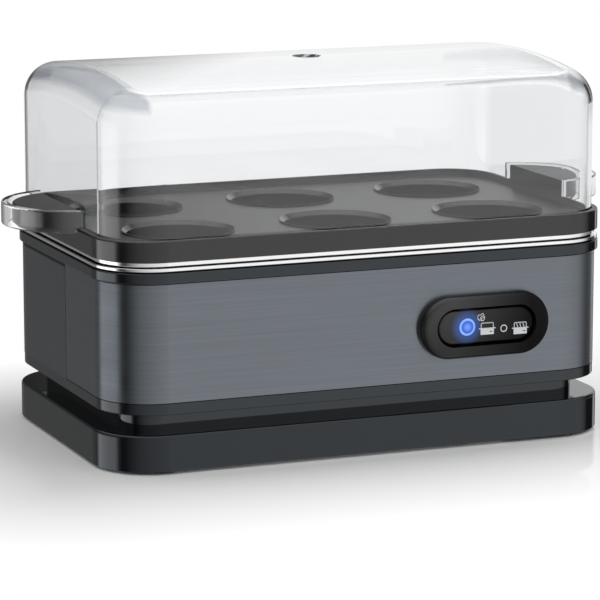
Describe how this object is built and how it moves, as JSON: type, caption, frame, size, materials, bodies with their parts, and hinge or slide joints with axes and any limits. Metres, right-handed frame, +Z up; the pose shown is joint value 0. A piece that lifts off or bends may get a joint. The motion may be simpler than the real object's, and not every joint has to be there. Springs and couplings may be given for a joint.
{
  "type": "electric egg cooker",
  "caption": "Oblong electric egg cooker: steel-fronted heated base on a cord-winding plinth, three-way rocker switch, lift-off egg tray and clear domed lid with loop handles.",
  "frame": {"origin": "middle of the footprint, on the surface that the feet stand on", "axes": "+X along the length towards the user's right, +Y towards the back, +Z up; the switch faces -Y"},
  "size_m": [0.2052, 0.114, 0.121],
  "materials": {
    "dark_gloss": "dark grey, polished",
    "housing_grey": "grey, satin",
    "tray_gloss": "near black, polished",
    "clear_plastic": "water clear",
    "brushed_front": "dark tinted, brushed along its length",
    "chrome_bead": "bright",
    "stainless": "bright drawn",
    "seal_rubber": "black, matt",
    "screw_steel": "zinc plated",
    "brass_fittings": "plain",
    "spreader_aluminium": "mill finish",
    "element_sheath": "dull",
    "inner_plastic": "black",
    "block_plastic": "off white",
    "led_blue": "blue, lit",
    "switch_black": "black, polished",
    "lead_brown": "insulation",
    "lead_blue": "insulation",
    "lead_green": "insulation"
  },
  "bodies": {
    "base": {"plinth": "dark_gloss", "cord_core": "dark_gloss", "base_floor": "dark_gloss", "top_frame": "dark_gloss", "body_shell": "housing_grey", "steel_wrap": "brushed_front", "chrome_trim": "chrome_bead", "heating_pan": "stainless", "pan_seal": "seal_rubber", "rubber_feet": "seal_rubber", "cord_gland": "seal_rubber", "plinth_screws": "screw_steel", "housing_screws": "screw_steel", "switch_screws": "screw_steel", "terminal_screws": "brass_fittings", "clamp_nuts": "screw_steel", "pan_studs": "screw_steel", "rocker_pin": "screw_steel", "heat_spreader": "spreader_aluminium", "clamp_plate": "screw_steel", "heating_element": "element_sheath", "element_pins": "element_sheath", "earth_tag": "brass_fittings", "switch_terminals": "brass_fittings", "thermostat": "inner_plastic", "thermal_fuse": "inner_plastic", "fuse_clip": "screw_steel", "switch_body": "inner_plastic", "terminal_block": "block_plastic", "indicator_led": "led_blue", "switch_bezel": "switch_black", "live_lead": "lead_brown", "switched_lead": "lead_brown", "neutral_lead": "lead_blue", "earth_lead": "lead_green"},
    "rocker": {"rocker": "switch_black", "indicator_lens": "led_blue"},
    "tray": {"egg_tray": "tray_gloss"},
    "lid": {"lid": "clear_plastic"}
  },
  "joints": [
    {"name": "rocker_tilt", "type": "hinge", "parent": "base", "child": "rocker", "pos_m": [0.0388, -0.0522, 0.0393], "axis": [0, 0, 1], "range_deg": [-6, 6]},
    {"name": "tray_lift", "type": "slide", "parent": "base", "child": "tray", "axis": [0, 0, 1], "range_m": [0, 0.12]},
    {"name": "lid_lift", "type": "slide", "parent": "tray", "child": "lid", "axis": [0, 0, 1], "range_m": [0, 0.12]}
  ]
}
